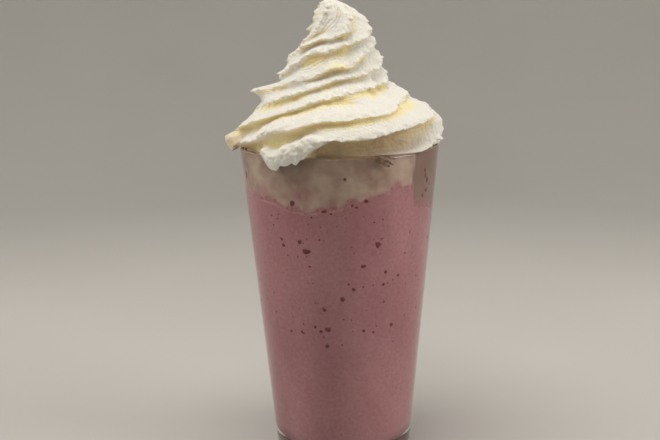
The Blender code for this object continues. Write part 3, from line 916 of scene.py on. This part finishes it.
def whipped_cream_material():
    """Warm white crests, painted butter and yellow shade in the grooves, painted shadow brown at the rim,
    with the pores of whipped cream.
    """
    material, tree, shader, _ = new_material("whipped cream")
    place = tree.nodes.new("ShaderNodeTexCoord")
    crest = tree.nodes.new("ShaderNodeAttribute")
    crest.attribute_name = "crest"
    painted_shadow = tree.nodes.new("ShaderNodeAttribute")
    painted_shadow.attribute_name = "painted_shadow"
    clouds = add_noise(tree, place, 120.0, 3.0)
    pores = add_noise(tree, place, 1500.0, 3.0)
    curds = add_noise(tree, place, 760.0, 2.0)
    whiteness = add_math(tree, "ADD", crest.outputs["Fac"], add_math(tree, "MULTIPLY", clouds, 0.3))
    # Painted light and shade: the crest value says how lit a point is, and shaded points turn butter and
    # yellow.
    body = add_ramp(tree, (0.3, CREAM_SHADE_YELLOW), (0.56, CREAM_SHADE_BUTTER), (0.9, CREAM_WHITE))
    uneven = add_range(tree, clouds, 0.35, 0.6, 0.75, 1.0)
    painted_shadow_share = add_math(tree, "MULTIPLY", painted_shadow.outputs["Fac"], uneven)
    surface = add_math(tree, "ADD", pores, add_math(tree, "MULTIPLY", curds, 1.6))
    relief = add_node(tree, "ShaderNodeBump", Strength=0.7, Distance=0.0004)
    shader.inputs["Roughness"].default_value = 0.6
    shader.inputs["Specular IOR Level"].default_value = 0.2
    shader.inputs["Subsurface Weight"].default_value = 0.6
    shader.inputs["Subsurface Radius"].default_value = (1.0, 0.8, 0.4)
    shader.inputs["Subsurface Scale"].default_value = 0.003
    tree.links.new(whiteness, body.inputs["Fac"])
    tree.links.new(surface, relief.inputs["Height"])
    tree.links.new(relief.outputs["Normal"], shader.inputs["Normal"])
    # The painted shadow brown blended over the painted light and shade.
    toned = add_blend(tree, painted_shadow_share, body.outputs["Color"], CREAM_SHADOW_BROWN)
    tree.links.new(toned, shader.inputs["Base Color"])
    return material


cream_skin = sphere_to_skin(CREAM_COLUMNS, CREAM_RINGS, cream_points)
cream = finish_mesh("piped_cream", cream_skin, whipped_cream_material())
for tone, values in CREAM_TONES.items():
    store(cream, tone, values)
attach(cream, "root")
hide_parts("whipped_cream")

# A wisp of cream has run over the rim at the front right, and down the outside of the glass; its dark olive
# brown is painted shade.
# It is a few thin strands that part at their lower ends, and it sticks to the wall.
# Each strand: where it starts, as azimuth and height, where it ends, and its width and thickness in mm.
STRANDS = (
    (-75.0, 150.3, -67.0, 147.7, 2.6, 0.5), (-72.5, 149.9, -63.6, 145.6, 1.7, 0.5),
    (-69.5, 149.6, -61.2, 146.3, 1.1, 0.4), (-67.5, 150.1, -60.2, 148.6, 0.8, 0.35),
)
WALL_TO_STRAND = 0.1 * MM
STRAND_LUMPS = 0.25 * MM
STRAND_LUMP_SIZE = 1.2 * MM
STRAND_WANDER = 0.5 * MM
STRAND_WANDER_SIZE = 2.5 * MM
# The wisp's painted shade, olive and brown.
WISP_SHADE_OLIVE = (0.24, 0.155, 0.085, 1.0)
WISP_SHADE_BROWN = (0.11, 0.06, 0.035, 1.0)


def wisp_material():
    """Olive brown painted shade, wet and streaked a little."""
    material, tree, shader, _ = new_material("shaded wisp")
    shader.inputs["Roughness"].default_value = 0.5
    paint_blotches(tree, shader, 500.0, 3.0, (0.4, WISP_SHADE_BROWN), (0.6, WISP_SHADE_OLIVE))
    return material


def on_outer_wall(azimuth, height):
    """A point on the outside of the glass, from an azimuth in degrees and a height in mm."""
    radius = outer_radius(min(height * MM, GLASS_HEIGHT)) + WALL_TO_STRAND
    return Vector(on_cylinder(radius, radians(azimuth), height * MM))


strands = bmesh.new()
for from_azimuth, from_height, to_azimuth, to_height, width, thickness in STRANDS:
    start, end = on_outer_wall(from_azimuth, from_height), on_outer_wall(to_azimuth, to_height)
    out = Vector((start.x + end.x, start.y + end.y, 0)).normalized()
    along = (end - start).normalized()
    across = out.cross(along)
    turned_to = Matrix((along, across, along.cross(across))).transposed().to_4x4()
    size = Matrix.Diagonal(((end - start).length, width * MM, thickness * MM, 1.0))
    shape = Matrix.Translation((start + end) / 2) @ turned_to @ size
    made = bmesh.ops.create_icosphere(strands, subdivisions=3, radius=0.5, matrix=shape)
    for vertex in made["verts"]:
        vertex.co += out * STRAND_LUMPS * noise.noise(vertex.co / STRAND_LUMP_SIZE)
        shifted = vertex.co / STRAND_WANDER_SIZE + Vector((0, 0, 7))
        vertex.co += across * STRAND_WANDER * noise.noise(shifted)
wisp = finish_mesh("shaded_wisp", strands, wisp_material())
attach(wisp, "root")

# The studio: a plain pale floor, a large soft lamp overhead, two softer ones at the sides,
# and the camera where the photograph was taken from, a little above the rim and looking down.
FLOOR_PALE = (0.60, 0.58, 0.55, 1.0)
FLOOR_SHADE = (0.585, 0.565, 0.535, 1.0)
FOOT_GAP = 0.1 * MM
FLOOR_RADIUS = 0.6
WALL_RADIUS = 1.1
WALL_HEIGHT = 1.3
# Each lamp: its name, its place, its width, and its power in watts.
LAMPS = (
    ("overhead", (-0.12, -0.11, 0.85), 0.55, 4.05),
    ("left", (-0.70, -0.05, 0.48), 0.42, 1.55),
    ("right", (0.66, -0.15, 0.48), 0.42, 2.7),
)
LAMPS_AIM_AT = Vector((0.0, 0.0, 120 * MM))
LAMP_WARM = (1.0, 0.97, 0.92)
AIR_PALE = (0.80, 0.78, 0.75, 1.0)
AIR_STRENGTH = 0.20
LENS_MM = 40.5
CAMERA_AT = (-4.81 * MM, -333.75 * MM, 195.16 * MM)
CAMERA_PITCH = radians(13.55)
CAMERA_ROLL = radians(1.025)


def floor_material():
    material, tree, shader, _ = new_material("pale floor")
    shader.inputs["Roughness"].default_value = 0.7
    paint_blotches(tree, shader, 4.0, 2.0, (0.4, FLOOR_SHADE), (0.6, FLOOR_PALE))
    return material


def soft_lamp(name, place, size, watts):
    """A square area lamp that faces the middle of the glass."""
    lamp = bpy.data.lights.new(name, "AREA")
    lamp.size = size
    lamp.energy = watts
    lamp.color = LAMP_WARM
    holder = bpy.data.objects.new(name, lamp)
    aim = LAMPS_AIM_AT - Vector(place)
    holder.rotation_euler = aim.to_track_quat("-Z", "Y").to_euler()
    holder.location = place
    bpy.context.scene.collection.objects.link(holder)


ground = bmesh.new()
bend = WALL_RADIUS - FLOOR_RADIUS
section = [(0.0, -FOOT_GAP), (FLOOR_RADIUS, -FOOT_GAP)]
for turn in np.radians(np.arange(10, 91, 10)):
    section.append((FLOOR_RADIUS + bend * sin(turn), bend * (1 - cos(turn))))
section.append((WALL_RADIUS, WALL_HEIGHT))
lay_section(ground, section)
turn_section(ground, 96)
floor = finish_mesh("floor", ground, floor_material())

for lamp in LAMPS:
    soft_lamp(*lamp)

world = bpy.data.worlds.new("studio air")
world.use_nodes = True
world.node_tree.nodes["Background"].inputs["Color"].default_value = AIR_PALE
world.node_tree.nodes["Background"].inputs["Strength"].default_value = AIR_STRENGTH
bpy.context.scene.world = world
bpy.context.scene.view_settings.view_transform = "Standard"

lens = bpy.data.cameras.new("camera")
lens.lens = LENS_MM
lens.sensor_width = 36.0
lens.clip_start = 0.01
camera = bpy.data.objects.new("camera", lens)
turn = Matrix.Rotation(pi / 2 - CAMERA_PITCH, 4, "X") @ Matrix.Rotation(-CAMERA_ROLL, 4, "Z")
camera.matrix_world = Matrix.Translation(CAMERA_AT) @ turn
bpy.context.scene.collection.objects.link(camera)
bpy.context.scene.camera = camera
